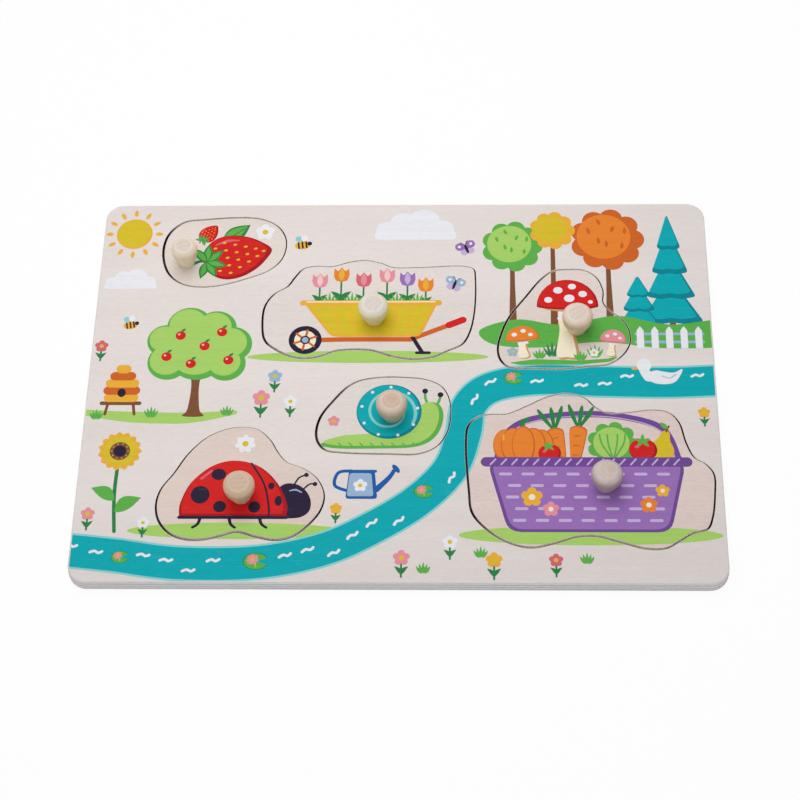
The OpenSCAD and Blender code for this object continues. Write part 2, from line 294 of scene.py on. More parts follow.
def veneer(shader, at, pale, dark, pore):
    """Colour of sliced birch between a pale and a dark tone, with pores and a few pin knots."""
    bands, streaks, flecks, pores = sliced_grain(shader, at)
    share = shader.sum((streaks, 0.15), (flecks, 0.4), (bands, 0.45))
    tone = shader.blend(share, 0.34, 0.68, pale, dark)
    tone = shader.mix(shader.times(pores, 0.2), tone, pore)
    pins = shader.node("TexVoronoi", {"Vector": shader.stretched(at, (9, 26, 9)), "Scale": 1.0})
    knots = shader.between(pins.outputs["Distance"], 0.006, 0.016, 0.75, 0.0)
    return shader.mix(knots, tone, colour(122, 96, 78)), streaks


def charred_with_painted_light(shader, at):
    """Colour of a cut wall, scorched, with painted light and shade: the end grain nearly black, partly
    painted shade; the long grain painted pale near the top as painted light and brown lower down; both
    painted darker with depth as painted shade in the gap.
    """
    # Painted shade: the wall is painted darker the deeper it lies below the top, where the gap shades it.
    depth = shader.math("SUBTRACT", TOP_Z, shader.apart(at)[2])
    streaks = shader.noise(at, (1500, 1500, 50))
    ragged = shader.add(depth, shader.times(streaks, -0.9 * MM))
    facing = shader.math("ABSOLUTE", shader.apart(shader.node("TexCoord").outputs["Normal"])[1])
    # Painted light: walls that face along Y are painted near white at the top, as if lit; walls that face
    # along X are painted nearly black, partly painted shade.
    pale, brown = colour(247, 240, 231), colour(150, 122, 98)
    long_grain_painted_lit = shader.blend(ragged, 1.2 * MM, 3 * MM, pale, brown)
    end_grain_painted_dark = shader.blend(ragged, -0.4 * MM, 0.5 * MM, colour(52, 38, 29), colour(28, 20, 16))
    wall = shader.blend(facing, 0.4, 0.85, end_grain_painted_dark, long_grain_painted_lit)
    return shader.mix(shader.between(streaks, 0.4, 0.8, 0.0, 0.35), wall, colour(58, 42, 32))


def plies(shader, at, low, high):
    """Colour of a sanded plywood edge between two heights: two pale face plies around a core."""
    height = shader.between(shader.apart(at)[2], low, high)
    wander = shader.math("SUBTRACT", shader.noise(at, (45, 45, 0), detail=1), 0.5)
    off_middle = shader.away(shader.add(height, shader.times(wander, 0.1)), 0.5)
    fibres = shader.noise(at, (420, 420, 2400))
    face = shader.blend(fibres, 0.35, 0.7, colour(243, 242, 245), colour(230, 229, 233))
    core = shader.blend(fibres, 0.3, 0.7, colour(214, 213, 217), colour(194, 193, 198))
    wood = shader.blend(off_middle, 0.16, 0.26, core, face)
    glue = shader.between(shader.away(off_middle, 0.22), 0.0, 0.03, 0.4, 0.0)
    return shader.mix(glue, wood, colour(132, 128, 130))


def outer_edge(shader, at):
    """1 within a millimetre of the frame board's rounded outer edge, 0 inside it."""
    side, corner = 1.2 * MM, 7 * MM
    x, y, _ = (shader.math("ABSOLUTE", length) for length in shader.apart(at))
    over_x = shader.math("SUBTRACT", x, FRAME_HALF.x - side)
    over_y = shader.math("SUBTRACT", y, FRAME_HALF.y - side)
    over_corner = shader.math("SUBTRACT", shader.add(x, y), FRAME_HALF.x + FRAME_HALF.y - corner)
    most = shader.math("MAXIMUM", shader.math("MAXIMUM", over_x, over_y), over_corner)
    return shader.math("GREATER_THAN", most, 0.0)


def frame_wood():
    shader = Shader("frame_wood")
    at = shader.local()
    # Painted shade: the veneer is painted darker towards the near edge, in place of the light that falls off
    # there.
    painted_falloff = shader.between(shader.apart(at)[1], -1.1 * FRAME_HALF.y, 0.2 * FRAME_HALF.y)
    pale = shader.mix(painted_falloff, colour(228, 219, 215), colour(232, 223, 219))
    dark = shader.mix(painted_falloff, colour(219, 209, 205), colour(223, 213, 209))
    flat, streaks = veneer(shader, at, pale, dark, PORE)
    wall = shader.mix(outer_edge(shader, at), charred_with_painted_light(shader, at), plies(shader, at, SEAM_Z, TOP_Z))
    shader.bump(streaks, 0.03 * MM)
    return shader.finish(Base_Color=shader.mix(shader.upright(), flat, wall), Roughness=0.55)


def piece_wood(motif, pale, dark):
    shader = Shader(motif + "_piece_wood")
    at = shader.local()
    flat, streaks = veneer(shader, at, colour(*pale), colour(*dark), PORE)
    wall = charred_with_painted_light(shader, at)
    shader.bump(streaks, 0.03 * MM)
    return shader.finish(Base_Color=shader.mix(shader.upright(), flat, wall), Roughness=0.55)


def backing_wood():
    shader = Shader("backing_wood")
    at = shader.local()
    flat, streaks = veneer(shader, at, colour(224, 214, 205), colour(206, 194, 183), PORE)
    wall = plies(shader, at, 0, SEAM_Z)
    shader.bump(streaks, 0.04 * MM)
    return shader.finish(Base_Color=shader.mix(shader.upright(), flat, wall), Roughness=0.6)


def burn_and_painted_shade():
    """The narrow burn on the top face beside a cut, partly painted shade; the same dark also paints the shade
    on the backing in each gap.
    """
    shader = Shader("burn_and_painted_shade")
    streaks = shader.noise(shader.local(), (90, 700, 90))
    tone = shader.blend(streaks, 0.35, 0.7, colour(40, 29, 23), colour(74, 54, 42))
    return shader.finish(Base_Color=tone, Roughness=0.6)


def ink(name, channels):
    """A printed colour, through which the wood's flecks and pores show faintly."""
    shader = Shader("ink_" + name)
    at = shader.local()
    _, streaks, flecks, pores = sliced_grain(shader, at)
    full = colour(*channels)
    worn = tuple(channel + (0.62 - channel) * 0.3 for channel in full[:3]) + (1,)
    share = shader.sum((streaks, 0.5), (flecks, 0.5))
    tone = shader.blend(share, 0.38, 0.66, full, faded(full, 0.93))
    tone = shader.mix(shader.times(pores, 0.25), tone, worn)
    shader.bump(streaks, 0.02 * MM)
    return shader.finish(Base_Color=tone, Roughness=0.5, Specular_IOR_Level=0.05)


def knob_wood(motif, ends, sides):
    """Turned wood with its grain upright: long fibres down the sides, end grain on the flat top. The sides
    carry painted light and shade and a painted reflection of the print around the knob.
    """
    end_tone, middle = ends
    low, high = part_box(motif + "_knob")
    shader = Shader(motif + "_knob_wood")
    at = shader.local(((low.x + high.x) / 2, (low.y + high.y) / 2, low.z))
    height = shader.apart(at)[2]
    tall = high.z - low.z
    fibres = shader.noise(at, (1300, 1300, 45), detail=3, roughness=0.6)
    blotch = shader.noise(at, (160, 160, 70))
    # Painted light and shade: each knob's side is painted lighter at the foot, where the knob shades itself,
    # than below the shoulder, and tinted with the colour of the print around it, a painted reflection.
    foot, shoulder, rim = (colour(*tone) for tone in sides)
    painted_flank = shader.blend(height, 0.2 * tall, 0.75 * tall, foot, shoulder)
    painted_flank = shader.blend(height, tall - 1.8 * MM, tall - 0.4 * MM, painted_flank, rim)
    worn = faded(shoulder, 0.82)
    painted_flank = shader.mix(shader.between(blotch, 0.35, 0.7, 0.0, 0.3), painted_flank, worn)
    side = shader.mix(shader.between(fibres, 0.42, 0.75, 0.0, 0.4), painted_flank, worn)
    wander = shader.noise(at, (330, 330, 60))
    pith = shader.offset(at, (middle[0] * MM, middle[1] * MM, 0))
    reach = shader.add(shader.from_axis(pith), shader.times(wander, 2.6 * MM))
    rings = shader.math("SINE", shader.times(reach, 2 * math.pi / RING_PITCH))
    flecks = shader.noise(at, (1700, 1700, 200))
    dark = faded(colour(*end_tone), 0.8)
    end = shader.mix(shader.between(rings, -0.3, 1.0, 0.0, 0.36), colour(*end_tone), dark)
    end = shader.mix(shader.between(flecks, 0.45, 0.8, 0.0, 0.35), end, dark)
    end = shader.mix(shader.between(reach, 1.2 * MM, 4 * MM, 0.6, 0.0), end, dark)
    wide = high.x - low.x
    disc = shader.between(shader.from_axis(at), 0.28 * wide, 0.31 * wide, 1.0, 0.0)
    top = shader.times(disc, shader.between(height, tall - 1.5 * MM, tall - MM))
    shader.bump(fibres, 0.05 * MM)
    tone = shader.mix(top, side, end)
    return shader.finish(Base_Color=tone, Roughness=0.5, Coat_Weight=0.15, Coat_Roughness=0.3)


def screw_steel():
    """Zinc-plated steel with fine turning marks."""
    shader = Shader("screw_steel")
    marks = shader.noise(shader.local(), (900, 900, 5200))
    tone = shader.mix(marks, colour(198, 202, 208), colour(158, 162, 168))
    shader.bump(marks, 0.02 * MM)
    return shader.finish(Base_Color=tone, Metallic=1.0, Roughness=shader.between(marks, 0.3, 0.7, 0.25, 0.42))


# Drawing, in millimetres on the board's top, with (0, 0) in its middle

def turned(points, degrees):
    angle = math.radians(degrees)
    c, s = math.cos(angle), math.sin(angle)
    return np.asarray(points, float) @ np.array(((c, s), (-s, c)))


def smooth(points, closed=True, step=1.2):
    """A smooth line through the points, in short runs."""
    points = np.asarray(points, float)
    count = len(points)
    line = []
    for i in range(count if closed else count - 1):
        near = range(i - 1, i + 3)
        a, b, c, d = (points[k % count if closed else min(max(k, 0), count - 1)] for k in near)
        runs = max(2, math.ceil(np.linalg.norm(c - b) / step))
        for t in np.arange(runs) / runs:
            line.append(
                b + t * (c - a) / 2 + t * t * (a - 2.5 * b + 2 * c - d / 2)
                + t ** 3 * (1.5 * b - a / 2 - 1.5 * c + d / 2)
            )
    if not closed:
        line.append(points[-1])
    return np.array(line)


def oval(x, y, rx, ry=None, turn=0):
    """An ellipse or, with one radius, a circle."""
    ry = rx if ry is None else ry
    count = 14 + int(3.5 * max(rx, ry))
    angles = np.arange(count) * 2 * math.pi / count
    return turned(np.c_[rx * np.cos(angles), ry * np.sin(angles)], turn) + (x, y)


def arc(x, y, radius, start, end):
    """Points along a circle, between two angles in degrees."""
    count = 4 + int(abs(end - start) / 14)
    angles = np.radians(np.linspace(start, end, count))
    return np.c_[x + radius * np.cos(angles), y + radius * np.sin(angles)]


def rounded(points, radius):
    """A polygon with its corners rounded off."""
    points = np.asarray(points, float)
    line = []
    for i, corner in enumerate(points):
        before, after = points[i - 1] - corner, points[(i + 1) % len(points)] - corner
        reach = min(radius, np.linalg.norm(before) / 2, np.linalg.norm(after) / 2)
        start = corner + before / np.linalg.norm(before) * reach
        end = corner + after / np.linalg.norm(after) * reach
        for t in np.linspace(0, 1, 5):
            line.append((1 - t) ** 2 * start + 2 * t * (1 - t) * corner + t * t * end)
    return np.array(line)


def ribbon(points, *widths, curved=True):
    """A stroke with round ends along a line. Its width runs evenly through the widths given."""
    line = smooth(points, closed=False) if curved else np.asarray(points, float)
    along = np.gradient(line, axis=0)
    along /= np.linalg.norm(along, axis=1)[:, None]
    side = np.c_[-along[:, 1], along[:, 0]]
    share = np.linspace(0, 1, len(line))
    half = np.interp(share, np.linspace(0, 1, len(widths)), widths) / 2 if len(widths) > 1 else widths[0] / 2
    half = np.broadcast_to(half, len(line))
    left, right = line + side * half[:, None], line - side * half[:, None]
    heading = np.degrees(np.arctan2(along[:, 1], along[:, 0]))
    end_cap = arc(*line[-1], half[-1], heading[-1] + 90, heading[-1] - 90)[1:-1]
    start_cap = arc(*line[0], half[0], heading[0] - 90, heading[0] - 270)[1:-1]
    return np.vstack((left, end_cap, right[::-1], start_cap))


def bar(start, end, width):
    """A straight stroke with round ends."""
    return ribbon([start, end], width, curved=False)


def mirrored(*left):
    """An outline from its left half, which ends or starts on the Y axis or runs straight across it."""
    return np.array([*left, *((-x, y) for x, y in left[::-1] if x)], float)


def trapezoid(low, high, low_half, high_half):
    """A trapezoid between two heights, from half its widths there."""
    return np.array([(-low_half, low), (low_half, low), (high_half, high), (-high_half, high)], float)


def on_circle(turn, radius, x=0, y=0):
    """A circle's point at an angle in degrees."""
    return arc(x, y, radius, turn, turn)[0]


def leaf(length, width, lean=0.0):
    """A pointed leaf from (0, 0) along X. Its lean bends it to one side."""
    share = np.linspace(0, 1, 12)
    middle = lean * length * np.sin(math.pi * share)
    half = width / 2 * np.sin(math.pi * share ** 0.85)
    upper = np.c_[share * length, middle + half]
    lower = np.c_[share * length, middle - half][1:-1]
    return np.vstack((upper, lower[::-1]))


def petal(length, width):
    """A round-ended petal from (0, 0) along X."""
    share = np.linspace(0, 1, 10)
    swell = np.sqrt(np.clip(1 - (share * 2.2 - 1.2) ** 2, 0, 1))
    half = width / 2 * swell * np.where(share < 0.55, share / 0.55, 1) ** 0.4
    upper = np.c_[share * length, half]
    return np.vstack((upper, (upper * (1, -1))[1:-1][::-1]))


def placed(shapes, x=0.0, y=0.0, turn=0, size=1.0):
    """A motif's shapes, sized, then turned by degrees and moved to a place."""
    return [(name, turned(np.asarray(outline) * size, turn) + (x, y)) for name, outline in shapes]


def scattered(*motifs):
    """Shapes of several motifs, each given with its place and, where need be, its turn and size."""
    for motif, *place in motifs:
        yield from placed(motif, *place)


def shaded(outline, dark, light, shift, size):
    """A shape in a dark ink, with a lighter one over all but its shaded side."""
    outline = np.asarray(outline, float)
    middle = (outline.min(0) + outline.max(0)) / 2
    return [(dark, outline), (light, (outline - middle) * size + middle + shift)]


# Small motifs, each a run of shapes, and each shape an ink's name and an outline

def flower(ink_name, radius, petals=5, eye="yellow"):
    for k in range(petals):
        yield ink_name, turned(petal(radius, 1.05 * radius * 5 / (petals + 1.4)), 360 * k / petals + 90)
    yield eye, oval(0, 0, 0.3 * radius)


def sprig(height):
    """A stem with two leaves, from (0, 0) upwards."""
    yield "dark_green", ribbon([(0, 0), (0, height / 2), (0, height)], 0.9)
    for side in (1, -1):
        blade = turned(leaf(0.55 * height, 0.2 * height, 0.12 * side), 90 - 38 * side)
        yield "dark_green", blade + (0, 0.12 * height)


def tulip(height, light, dark):
    """A tulip with its stem and leaves, from (0, 0) upwards."""
    cup = mirrored((0, -4.2), (-2.7, -3.5), (-3.9, -0.5), (-3.6, 4), (-1.8, 2), (0, 4.6))
    heart = mirrored((0, -3.6), (-1.5, -1), (-1.3, 1.5), (0, 4.2))
    yield from sprig(height - 3)
    yield from placed([(dark, rounded(cup, 0.7)), (light, rounded(heart, 0.8))], 0, height)


def tuft(height, ink_name="green"):
    """A tuft of grass, from (0, 0) upwards."""
    blades = 5
    for k in range(blades):
        aside = k - (blades - 1) / 2
        blade = leaf(height * (1 - 0.12 * abs(aside)), 1.3)
        yield ink_name, turned(blade, 90 + 15 * aside) - (0.5 * aside, 0)


def butterfly(ink_name, dark):
    """A butterfly with its wings spread, 10 mm wide."""
    for side in (1, -1):
        yield ink_name, turned(petal(6, 4.6), 90 - 52 * side)
        yield dark, turned(petal(4.2, 3.6), -90 + 48 * side)
        yield "white", turned(oval(3.8, 0, 0.8), 90 - 52 * side)
        yield "night", ribbon([(0, 2), (1.1 * side, 4), (2 * side, 4.6)], 0.35)
    yield "night", oval(0, 0, 0.75, 2.8)


def bee():
    """A bee in flight to the right, 9 mm long."""
    yield "pale_teal", turned(petal(5, 3.4), 118) + (0, 1.2)
    yield "white", turned(petal(5, 3.4), 78) + (0.8, 1.2)
    yield "gold", oval(0, 0, 3.8, 2.5)
    for x in (-1.9, 0, 1.9):
        yield "night", rounded(trapezoid(-2, 2, 0.45, 0.45) + (x, 0), 0.3)
    yield "night", oval(3.6, 0.5, 1.2)


def cloud(width):
    """A flat-based cloud of round puffs."""
    puffs = ((-0.34, 0.06, 0.13), (-0.14, 0.15, 0.17), (0.1, 0.17, 0.2), (0.32, 0.07, 0.14))
    base = trapezoid(-0.07 * width, 0.09 * width, 0.5 * width, 0.46 * width)
    yield "white", rounded(base, 0.08 * width)
    for x, y, r in puffs:
        yield "white", oval(x * width, y * width, r * width)


def round_tree(height, radius, light, dark):
    """A tree with a round crown, its foot at (0, 0)."""
    crown_y = height - radius
    yield "brown", mirrored((-1.9, 0), (-1.2, crown_y * 0.5), (-1, crown_y))
    bumps = 9
    for k in range(bumps):
        x, y = on_circle(360 * k / bumps, radius * 0.74, 0, crown_y)
        yield dark, oval(x, y, radius * 0.34)
    yield dark, oval(0, crown_y, radius * 0.82)
    yield light, oval(-0.1 * radius, crown_y + 0.1 * radius, radius * 0.78)
    for turn in (20, 65, 110, 160, 215, 265, 320):
        x, y = on_circle(turn, radius * (0.28 if turn % 2 else 0.54), 0, crown_y)
        yield dark, turned(leaf(0.26 * radius, 0.11 * radius), 65 + turn % 60) + (x, y)


def fir_tree(height, width, light, dark, tiers=4):
    """A fir of stacked tiers, its foot at (0, 0)."""
    yield "brown", trapezoid(0, height * 0.2, 1.7, 1.3)
    for k in range(tiers):
        low = height * (0.12 + 0.2 * k)
        half = width / 2 * (1 - 0.2 * k)
        top = low + height * (0.36 if k < tiers - 1 else 0.28)
        hem = mirrored((-half, low), (-half * 0.4, low - 1.5), (0, low - 0.4))
        tier = rounded([*hem, (0, top)], 1.8)
        yield dark, tier
        yield light, (tier - (0, low)) * (0.86, 0.88) + (-0.05 * half, low + 0.1 * (top - low))


# The six pieces' pictures, in millimetres from the foot of each knob

def berry():
    """A strawberry with its stalk and sepals, its tip to the right."""
    yield "dark_green", ribbon([(-15, 0), (-18, 1), (-21.4, 0.4)], 1.6)
    outline = smooth([
        (-14, -8), (-16.5, 0), (-14, 8), (-8, 12.4), (0, 12.8), (8, 9.8), (14, 5.2), (17.8, 0),
        (14, -5.2), (8, -9.8), (0, -12.8), (-8, -12.4),
    ])
    yield from shaded(outline, "dark_red", "red", (-0.7, 0.8), 0.92)
    yield "rose", ribbon([(-9, 8.8), (-3, 10), (3, 9)], 0.6, 1.6, 0.6)
    for x, rows in ((-9.6, 4), (-4.6, 5), (0.4, 4), (5.4, 3), (10, 2), (13.6, 1)):
        for row in range(rows):
            yield "yellow", oval(x, (row - (rows - 1) / 2) * 4.6, 0.95, 0.6)
    sepal = [("dark_green", leaf(10.5, 4.6)), ("green", leaf(8.6, 2.9) + (0.6, 0))]
    for turn in (-118, -74, -28, 28, 74, 118):
        yield from placed(sepal, -15, 0, turn)


def strawberry():
    blade = [("dark_green", leaf(17, 8.5)), ("green", leaf(15, 6) + (0.6, 0.3))]
    yield from placed(blade, 17, 12, 38)
    yield "dark_green", ribbon([(18, 12.8), (28, 20.4)], 0.5)
    yield from scattered(
        (berry(), 10, 17.2, 52, 0.34), (berry(), 24.5, 3.6, 13), (flower("white", 5), 38, 18),
    )


def wheelbarrow():
    tulips = (
        (-27, 14.5, "pale_pink", "pink"), (-16.5, 18, "gold", "orange"), (-5.5, 15, "pink", "rose"),
        (6, 17.5, "pale_pink", "pink"), (16, 15.5, "lilac", "purple"), (25, 12, "gold", "orange"),
    )
    for x, height, light, dark in tulips:
        yield from placed(tulip(height, light, dark), x, 7.5)
    for x in (-22, -11, 0, 11, 21):
        yield from placed(tuft(8.5), x, 7)
    tub = rounded([(-34.5, 9), (31, 9), (22.5, -10.5), (-20.5, -10.5)], 3)
    beam = [(-33, -12.5), (-14, -12), (18, -12), (42.5, -1.2)]
    yield "dark_orange", ribbon(beam, 2.6, curved=False)
    for start, end, width in (((19, -11), (23.5, -19.2), 2), ((21, -19.6), (27, -19.6), 1.6)):
        yield "night", bar(start, end, width)
    yield from shaded(tub, "gold", "yellow", (0, 0.7), 0.95)
    yield "gold", bar((-35, 9), (31.5, 9), 3)
    yield "cream", bar((-33, 9.6), (29.5, 9.6), 0.7)
    for x in (-17, -10, 10, 17):
        yield "gold", bar((x, -7.6), (x * 1.12, 5), 0.7)
    yield "red", bar((36.5, -3.9), (43.2, -0.9), 3.6)
    yield from wheel(-33, -12.3, 8, "blue_grey")
    yield from placed(butterfly("blue_grey", "lilac"), 39, 19.5, -18)


def wheel(x, y, radius, hub):
    """A dark tyre with spokes around a hub."""
    yield "night", oval(x, y, radius)
    yield "cream", oval(x, y, radius * 0.66)
    for k in range(6):
        end = turned([(radius * 0.7, 0)], 60 * k + 20)[0]
        yield "dark_orange", bar((x, y), end + (x, y), 1.1)
    yield "night", oval(x, y, radius * 0.3)
    yield hub, oval(x, y, radius * 0.2)


def mushroom(cap_half, cap_h, stem_h, light, dark, spots):
    """A mushroom, its foot at (0, 0), with spots as shares of its cap."""
    stem = smooth(mirrored(
        (-0.2 * cap_half, stem_h), (-0.22 * cap_half, stem_h * 0.5), (-0.34 * cap_half, 0.5), (0, -0.6),
    ))
    yield from shaded(stem, "tan", "cream", (-0.08 * cap_half, 0.1), 0.93)
    ring = trapezoid(stem_h * 0.74, stem_h * 0.93, 0.36 * cap_half, 0.22 * cap_half)
    yield "white", rounded(ring, 0.8)
    yield "tan", oval(0, stem_h, cap_half * 0.86, cap_h * 0.2)
    upper = arc(0, 0, 1, 0, 180) * (cap_half, cap_h)
    lower = arc(0, 0, 1, 180, 360) * (cap_half, 0.12 * cap_h)
    dome = np.vstack((upper, lower)) + (0, stem_h)
    yield from shaded(dome, dark, light, (-0.03 * cap_half, 0.03 * cap_h), 0.94)
    for x, y, share in spots:
        r = share * cap_half
        yield "white", oval(x * cap_half, stem_h + y * cap_h, r, r * 0.85)


def toadstool():
    many = (
        (-0.62, 0.24, 0.13), (-0.3, 0.6, 0.15), (0.16, 0.74, 0.13), (0.5, 0.46, 0.14),
        (0.06, 0.3, 0.17), (0.74, 0.16, 0.08),
    )
    few = ((-0.45, 0.4, 0.16), (0.1, 0.62, 0.16), (0.5, 0.3, 0.14))
    yield from scattered(
        (tuft(9, "dark_green"), -12, -16.5), (tuft(8), 8.5, -17),
        (mushroom(8.2, 7.6, 10.5, "orange", "dark_orange", few), -25, -16.8, 6),
        (mushroom(6.4, 6.4, 8.5, "pink", "rose", few), 16.4, -15.8, -6),
        (mushroom(15, 15.5, 29.5, "red", "dark_red", many), -4, -17),
        (tuft(6), -18, -17.5), (tuft(6), 1.5, -18.5),
    )
    yield "green", rounded([
        (-33, -19.6), (-20, -17.6), (0, -18.4), (14, -17.4), (20, -15.8), (16, -19), (2, -20.6),
        (-28, -20.8),
    ], 2)
    yield from scattered((flower("blue_grey", 2.8), -31, -13.5), (flower("white", 2.4), 8, -14))


def snail():
    body = smooth([
        (-33.5, -16), (-24, -12.6), (-12, -11.5), (4, -11), (11, -5), (13.6, 2.5), (17.5, 6.8),
        (22.4, 5.4), (24.2, -0.5), (22.4, -8.6), (17.5, -14.6), (9, -17.6), (-8, -18.2), (-26, -18.1),
    ])
    for stalk in ([(17, 5), (15.6, 9), (15.4, 12.4)], [(20.8, 5), (22.2, 8), (22.6, 10.4)]):
        yield "green", ribbon(stalk, 1.3)
    yield "night", oval(15.4, 13, 1.4)
    yield "night", oval(22.7, 11, 1.4)
    yield from shaded(body, "green", "lime", (-0.3, 0.8), 0.94)
    for x in (-25, -20, -15, -10, -5, 0, 5, 10):
        yield "green", bar((x, -15.2), (x + 1.6, -16.9), 0.6)
    yield from shaded(oval(-1.5, 1.8, 15.4, 14.8), "deep_teal", "teal", (-0.4, 0.5), 0.94)
    turns = np.radians(np.linspace(-30, 640, 58))
    radii = np.linspace(12.6, 2.5, 58)
    spiral = np.c_[-1.2 + radii * np.cos(turns), 1.6 + radii * np.sin(turns)]
    yield "pale_teal", ribbon(spiral, 1.5, 0.9, curved=False)
    for turn in range(8, 360, 40):
        yield "white", oval(*on_circle(turn, 13.4, -1.3, 1.8), 0.75)
    yield from placed(flower("pink", 3), -27.5, -3.4)


def ladybird():
    dome = smooth([
        (-28, -11.2), (-28, -4), (-23.5, 7), (-14, 15.6), (-3, 18.4), (8, 15.2), (16.6, 6.6), (21.4, -4),
        (21.4, -11.2),
    ], closed=False)
    for x, step in ((-18, -3.5), (-5, 3), (9, 3.5)):
        yield "night", ribbon([(x, -10), (x + 0.3 * step, -14.4), (x + step, -16.4)], 1.7, 1.2)
    head = [(16, -10.6), (15.5, 0), (19.5, 6), (26.5, 5.6), (31.6, 0), (32.2, -7), (28, -11), (20, -11.6)]
    yield "night", smooth(head)
    for points in ([(24, 5), (26.4, 9.4), (29.8, 11)], [(28.6, 3.4), (31.6, 6.2), (34, 6.2)]):
        yield "night", ribbon(points, 0.8)
        yield "night", oval(*points[-1], 1.1)
    yield "blue_grey", ribbon([(22.4, 2.6), (25.2, 3.2), (28, 1.8)], 0.5, 0.9, 0.5)
    yield from shaded(dome, "dark_red", "red", (-0.5, 1), 0.94)
    yield "night", bar((-28, -11.2), (21.4, -11.2), 1.6)
    yield "night", ribbon([(4, 17), (10.4, 6), (13, -5), (13.4, -11)], 0.9)
    spots = (
        (-19, 0.5, 4.4, 4.6), (-11, 11.2, 3.4, 3), (-9.6, -5.6, 3, 3), (13.8, 5.2, 1.5, 1.8),
        (6.4, -5.8, 2.8, 3), (17.4, -2.6, 1.7, 2.6),
    )
    for spot in spots:
        yield "night", oval(*spot)
    yield "rose", ribbon([(-19, 9), (-14.5, 13)], 1.1)
    yield from placed(flower("white", 5, 7), 0.5, 27.5)


def basket():
    outer = [(-50, 12), (-46, 26), (-34, 34.6), (-9, 37.6), (12, 35.6), (28, 29), (34.5, 12)]
    inner = [(-48.4, 12), (-44.6, 25.6), (-33.4, 33.4), (-9, 36.6), (12, 34.5), (27, 28), (33.2, 12)]
    yield "dark_purple", ribbon(outer, 3.4)
    yield "lilac", ribbon(inner, 0.5)
    pumpkin = [("dark_green", ribbon([(0, 8), (-0.4, 12), (2, 14)], 2.8, 2))]
    for x, rx in ((-8.6, 5.6), (8.6, 5.6), (-4.6, 6), (4.6, 6), (0, 5.4)):
        rib = oval(x, 0, rx, 10.4 - abs(x) * 0.22)
        pumpkin += shaded(rib, "dark_orange", "orange", (-0.2, 0.4), 0.9)
    pumpkin += [("gold", ribbon([(-9.4, 3), (-9.2, 5.6)], 1, 0.7, curved=False))]
    leaves = (ribbon([(0, 8), (x, 15), (1.6 * x, 20)], 1, 1.6, 2.4, 1) for x in (-3.4, 0.4, 3.6))
    carrot = [("dark_green", blade) for blade in leaves]
    root = smooth([(-4, 5), (-3.4, 8.4), (0, 9.6), (3.4, 8.4), (4, 5), (2, -10), (0, -14), (-2, -10)])
    carrot += shaded(root, "dark_orange", "orange", (-0.2, 0.2), 0.92)
    carrot += [("dark_orange", bar((-1.6, y), (0.8, y + 0.3), 0.6)) for y in (-6, -1, 4)]
    cabbage = [("green", oval(*on_circle(turn, 8.6), 3.4)) for turn in range(0, 360, 40)]
    cabbage += [("green", oval(0, 0, 9)), ("lime", oval(-0.6, 0.6, 8.4))]
    cabbage += [("green", ribbon([(0.2 * x, -7), (x, 0), (1.2 * x, 5)], 0.8)) for x in (-5, -2, 2, 5)]
    tomato = shaded(oval(0, 0, 6.6, 6), "dark_red", "red", (-0.5, 0.5), 0.9)
    tomato += [("green", turned(leaf(4, 1.7), turn) + (0, 4.6)) for turn in (20, 90, 160, 225, 315)]
    tomato += [("rose", oval(-2.8, 1.6, 1.1, 0.8))]
    pear = smooth(mirrored((0, -6), (-5, -4.6), (-5.6, 0), (-2.8, 4.6), (-1.8, 8.4), (0, 9.6)))
    pear = shaded(pear, "gold", "yellow", (-0.4, 0.3), 0.92)
    pear += [("brown", ribbon([(0, 9), (0.6, 12)], 0.9)), ("green", turned(leaf(5, 2.4), 150) + (0.4, 10.6))]
    yield from scattered(
        (carrot, -21.5, 20.6, 10, 1.02), (carrot, -12.5, 21.6, -6, 1.02), (pear, 27, 19.5, -14),
        (cabbage, 4, 21.5), (pumpkin, -37.5, 20.8), (tomato, 18, 18.4),
        (placed(tomato, size=0.8), -25.4, 16.6, 8),
    )
    side = rounded([(-54.5, 12), (37.5, 12), (29, -24.4), (-45, -24.4)], 6)
    yield from shaded(side, "dark_purple", "purple", (0, 0.8), 0.965)
    for row, y in enumerate((5.6, -0.4, -6.4, -12.4, -18.4)):
        half = 41.5 - (12 - y) * 0.26
        for x in np.arange(-half, half - 4, 10.4) + (2.6 if row % 2 else 0):
            yield "lilac", bar((x - 8.5, y), (x - 3.9, y), 1.5)
    yield "dark_purple", bar((-55, 12), (38, 12), 5)
    for x in np.arange(-53, 37, 5):
        yield "lilac", bar((x, 10.6), (x + 2.4, 13.4), 0.8)
    for name, radius, x, y in (("gold", 5.2, -34, -6.4), ("pink", 4, -25.4, -12.6),
                               ("orange", 4.2, 19.4, -10.4), ("gold", 3.4, 26, -3)):
        yield from placed(flower(name, radius, eye="cream"), x, y)


PICTURES = dict(zip(MOTIFS, (strawberry, wheelbarrow, toadstool, snail, ladybird, basket)))


# The picture on the frame board, which runs on over the cuts

BROOK = [(158, 2), (128, 0.5), (96, 1), (66, 2), (44, -2), (33, -12), (30, -28), (24, -46),
         (10, -62), (-10, -76), (-34, -88), (-64, -94.5), (-100, -95), (-130, -91), (-158, -88)]

# What floats on the brook, as the place and the reach that no ripple enters: the duck, then the lilies
AFLOAT = ((123, 1.5, 14), (54, 3, 8), (-64, -94, 9), (12, -58, 8), (-126, -92, 8))


